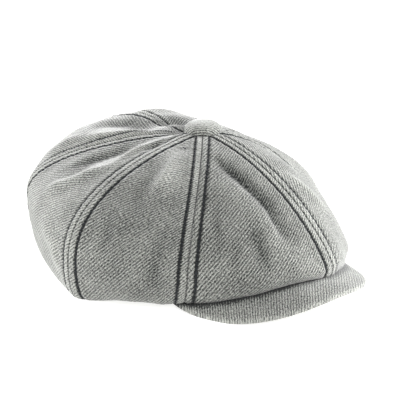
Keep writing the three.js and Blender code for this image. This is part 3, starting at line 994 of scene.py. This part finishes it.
def peak_piece():
    """The stiff peak: a curved sheet from the head opening to its rim, arched from side to side."""
    share = np.linspace(-1, 1, PEAK_COLUMNS + 1)[:, None]
    root = opening_point(np.radians(share[:, 0] * PEAK_ROOT_ANGLE), CLOTH / 2 + GAP)[:, None, :]
    angle = np.radians(share * PEAK_RIM_ANGLE)
    bend = np.abs(np.sin(angle)) ** (2 / PEAK_CORNER_POWER) * np.sign(share)
    rim_x = -OPENING_ASIDE - PEAK_HALF_WIDTH * bend
    rim_y = -PEAK_WIDEST - (PEAK_REACH - PEAK_WIDEST) * np.cos(angle)
    rim = np.concatenate([rim_x, rim_y], 1)[:, None, :]
    out = (1 - (1 - np.linspace(0, 1, PEAK_ROWS + 1)) ** PEAK_ROW_POWER)[None, :, None]
    place = mix(root, rim, out)
    x, y = place[..., 0], place[..., 1]
    to_rim = np.linalg.norm(rim - place, axis=2)
    rounding = 1 - (1 - np.minimum(to_rim / RIM_ROUND, 1)) ** 2
    half = PEAK_THICK / 2 * np.sqrt(np.clip(rounding, RIM_LEAST, 1))
    middle = peak_top(x, y) - PEAK_THICK / 2
    waves = PEAK_RIPPLE_HEIGHT * ripples(x, y, PEAK_SEED)
    soft = waves * smooth(to_rim, PEAK_RIPPLES_FROM, PEAK_RIPPLES_FULL)
    hem = HEM_HEIGHT * bump(to_rim, HEM_PLACE, HEM_WIDTH)
    upper = np.stack([x, y, middle + half + hem + soft * on_peak(y)], -1)
    lower = np.stack([x, y, middle - half], -1)
    corners, faces = wall(upper, lower)
    aside = x + OPENING_ASIDE
    arc = aside * (1 + aside**2 / (6 * PEAK_ARCH_RADIUS**2))
    run = y / math.cos(math.radians(PEAK_SLOPE))
    cloth = np.stack([twice(-arc), twice(-run)], 1)
    wear_and_painted_light = RIM_WEAR * bump(to_rim, 0, RIM_WEAR_WIDTH)
    # Painted shade darkens the peak along the foot of the crown; the rim's lighter edge is wear
    wear_and_painted_light -= PEAK_SHADE * near_line(upper, crown_ring[:, FOOT_ROW], PEAK_SHADE_WIDTH)
    piece = make_piece("peak_cloth", corners, faces, (plain_cloth,), cloth, {"wear_and_painted_light": twice(wear_and_painted_light)})
    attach(piece, "root")
    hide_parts("peak")


# Button

# The cloth is gathered round the button's side. The small hole at its top is filled by one face.
GATHERS = 14
GATHER_DEPTH = 0.012
GATHERS_FROM = 0.7
BUTTON_TOP_HOLE = 0.05
BUTTON_UNDER_HOLE_SHARE = 0.02
# Painted light on the button: lighter towards its top and darker towards its lip
BUTTON_PAINTED_TOP_LIGHT = 4.0
BUTTON_PAINTED_LIP_SHADE = 1.5


def button_piece():
    """The covered button: a domed top, a narrow side and a flat back."""
    radius = BUTTON_WIDTH / 2
    rise = np.linspace(math.pi / 2, 0, BUTTON_ROWS + 1)
    out = np.maximum(radius * np.cos(rise) ** BUTTON_SIDE_POWER, BUTTON_TOP_HOLE)
    height = BUTTON_HEIGHT * np.sin(rise) ** BUTTON_DOME_POWER
    under_out = radius * np.array([BUTTON_EDGE_SHARE, BUTTON_FLAT_SHARE, BUTTON_UNDER_HOLE_SHARE])
    profile_out = np.r_[out, under_out]
    profile_up = np.r_[height, -BUTTON_LIP, 0, 0]
    turn = np.linspace(0, 2 * math.pi, BUTTON_COLUMNS, endpoint=False)[:, None]
    gathered = smooth(profile_out, GATHERS_FROM * radius, radius)
    gather = 1 + GATHER_DEPTH * np.sin(turn * GATHERS) * gathered
    x = -profile_out * np.sin(turn) * gather
    y = -profile_out * np.cos(turn) * gather
    z = np.broadcast_to(profile_up, x.shape)
    tilt = math.radians(BUTTON_TILT)
    points = np.stack([x, y * math.cos(tilt) - z * math.sin(tilt), z + y * math.sin(tilt)], -1)
    points[..., 2] += CROWN_HEIGHT + GAP
    index = np.arange(x.size).reshape(x.shape)
    following = np.roll(index, -1, axis=0)
    quads = np.stack([index[:, :-1], following[:, :-1], following[:, 1:], index[:, 1:]], -1)
    faces = quads.reshape(-1, 4).tolist() + [index[::-1, 0].tolist(), index[:, -1].tolist()]
    length = np.r_[0, np.cumsum(np.hypot(np.diff(profile_out), np.diff(profile_up)))]
    cloth = np.stack([-length * np.sin(turn), length * np.cos(turn)], -1).reshape(-1, 2)
    # Painted light: the button is lighter towards its top and darker towards its lip
    wear_and_painted_light = np.broadcast_to(BUTTON_PAINTED_TOP_LIGHT * (profile_up / BUTTON_HEIGHT) - BUTTON_PAINTED_LIP_SHADE, x.shape)
    fields = {"wear_and_painted_light": wear_and_painted_light.ravel()}
    piece = make_piece("button_cloth", points.reshape(-1, 3), faces, (plain_cloth,), cloth, fields)
    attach(piece, "root")
    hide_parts("button")


# Headband

# Rows of the mesh that carry its two lines of stitches
BAND_STITCH_ROWS = (2, BAND_ROWS - 2)


def band_piece():
    """The band round the head opening. It gives back the lines of its stitches, on its inner face."""
    turn = np.linspace(0, 2 * math.pi, BAND_COLUMNS + 1)
    lift = np.linspace(0, 1, BAND_ROWS + 1)

    def face(offset):
        """One face of the band, at an offset from its middle."""
        place = opening_point(turn, offset)
        base = on_peak(place[:, 1]) * (peak_top(place[:, 0], place[:, 1]) - PEAK_THICK)
        height = base[:, None] + (1 - lift) * BAND_HEIGHT
        across = np.repeat(place[:, None, :], BAND_ROWS + 1, axis=1)
        return np.concatenate([across, height[..., None]], -1)

    outer, inner = face(CLOTH / 2), face(-CLOTH / 2)
    corners, faces = wall(outer, inner)
    along = np.r_[0, np.cumsum(np.linalg.norm(np.diff(outer[:, 0], axis=0), axis=1))]
    along, down = np.broadcast_arrays(along[:, None], -lift * BAND_HEIGHT)
    cloth = np.stack([twice(along), twice(down)], 1)
    piece = make_piece("headband_cloth", corners, faces, (band_cloth,), cloth)
    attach(piece, "root")
    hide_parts("headband")
    return [inner[:, row] for row in BAND_STITCH_ROWS]


peak_piece()
button_piece()
stitched("headband_stitching", band_piece(), topstitching, BAND_STITCH)


# Floor, light and camera
FLOOR_REACH = 6.0
FLOOR_COLOUR = (0.5, 0.5, 0.49, 1)
FLOOR_ROUGHNESS = 0.95
FLOOR_GLOW_COLOUR = (1, 1, 0.985, 1)
FLOOR_GLOW = 0.85
SKY_GLOW = 0.34
LIGHT_SIZE = 1.1
LIGHT_DISTANCE = 2.0

VIEW_TURN = 44
VIEW_RISE = 20
VIEW_DISTANCE = 1500
PIXELS_PER_MM = 1.27
FRAME_PIXELS = 400
SENSOR = 36

# The point on the crown's axis that the view is aimed with, and where it comes in the picture
AIM_HEIGHT = 106
AIM_PIXEL = (203, 128)


def direction(turn, rise):
    """From the cap towards a place turned from its front and raised by the two angles in degrees."""
    turn, rise = math.radians(turn), math.radians(rise)
    return Vector((-math.sin(turn) * math.cos(rise), -math.cos(turn) * math.cos(rise), math.sin(rise)))


def floor():
    """A pale floor that glows a little, so that it stays even round the cap."""
    mesh = bpy.data.meshes.new("floor")
    ends = (-FLOOR_REACH, FLOOR_REACH)
    mesh.from_pydata([(x, y, 0) for x in ends for y in ends], [], [(0, 2, 3, 1)])
    piece = bpy.data.objects.new("floor", mesh)
    bpy.context.scene.collection.objects.link(piece)
    material = bpy.data.materials.new("floor_white")
    material.use_nodes = True
    shader = material.node_tree.nodes["Principled BSDF"]
    shader.inputs["Base Color"].default_value = FLOOR_COLOUR
    shader.inputs["Roughness"].default_value = FLOOR_ROUGHNESS
    shader.inputs["Emission Color"].default_value = FLOOR_GLOW_COLOUR
    shader.inputs["Emission Strength"].default_value = FLOOR_GLOW
    mesh.materials.append(material)


def sky():
    """Even white light from all round."""
    world = bpy.data.worlds.new("studio")
    world.use_nodes = True
    background = world.node_tree.nodes["Background"]
    background.inputs["Color"].default_value = (1, 1, 1, 1)
    background.inputs["Strength"].default_value = SKY_GLOW
    bpy.context.scene.world = world


def area_light(name, turn, rise, power):
    """A soft round light, turned from the camera's side towards the picture's right."""
    data = bpy.data.lights.new(name, "AREA")
    data.shape = "DISK"
    data.size = LIGHT_SIZE
    data.energy = power
    light = bpy.data.objects.new(name, data)
    away = direction(VIEW_TURN - turn, rise)
    light.location = away * LIGHT_DISTANCE + Vector((0, 0, CROWN_HEIGHT / 2 * MM))
    light.rotation_euler = away.to_track_quat("Z", "Y").to_euler()
    bpy.context.scene.collection.objects.link(light)


def camera():
    """The view of the photograph, from its turn, its rise and its scale."""
    back = direction(VIEW_TURN, VIEW_RISE)
    turn = math.radians(VIEW_TURN)
    right = Vector((math.cos(turn), -math.sin(turn), 0))
    up = back.cross(right)
    aside = (FRAME_PIXELS / 2 - AIM_PIXEL[0]) / PIXELS_PER_MM
    above = (AIM_PIXEL[1] - FRAME_PIXELS / 2) / PIXELS_PER_MM
    crown_top = Vector(CROWN_AXIS) + Vector((0, 0, AIM_HEIGHT * MM))
    where = crown_top + (right * aside + up * above + back * VIEW_DISTANCE) * MM
    data = bpy.data.cameras.new("view")
    data.sensor_width = SENSOR
    data.lens = PIXELS_PER_MM * VIEW_DISTANCE / FRAME_PIXELS * SENSOR
    seen = bpy.data.objects.new("view", data)
    axes = Matrix((right, up, back)).transposed().to_4x4()
    seen.matrix_world = Matrix.Translation(where) @ axes
    bpy.context.scene.collection.objects.link(seen)
    bpy.context.scene.camera = seen


floor()
sky()
area_light("key_light", turn=25, rise=42, power=31)
area_light("left_light", turn=-102, rise=3, power=90)
area_light("right_light", turn=108, rise=16, power=80)
bpy.context.scene.view_settings.view_transform = "Standard"
camera()
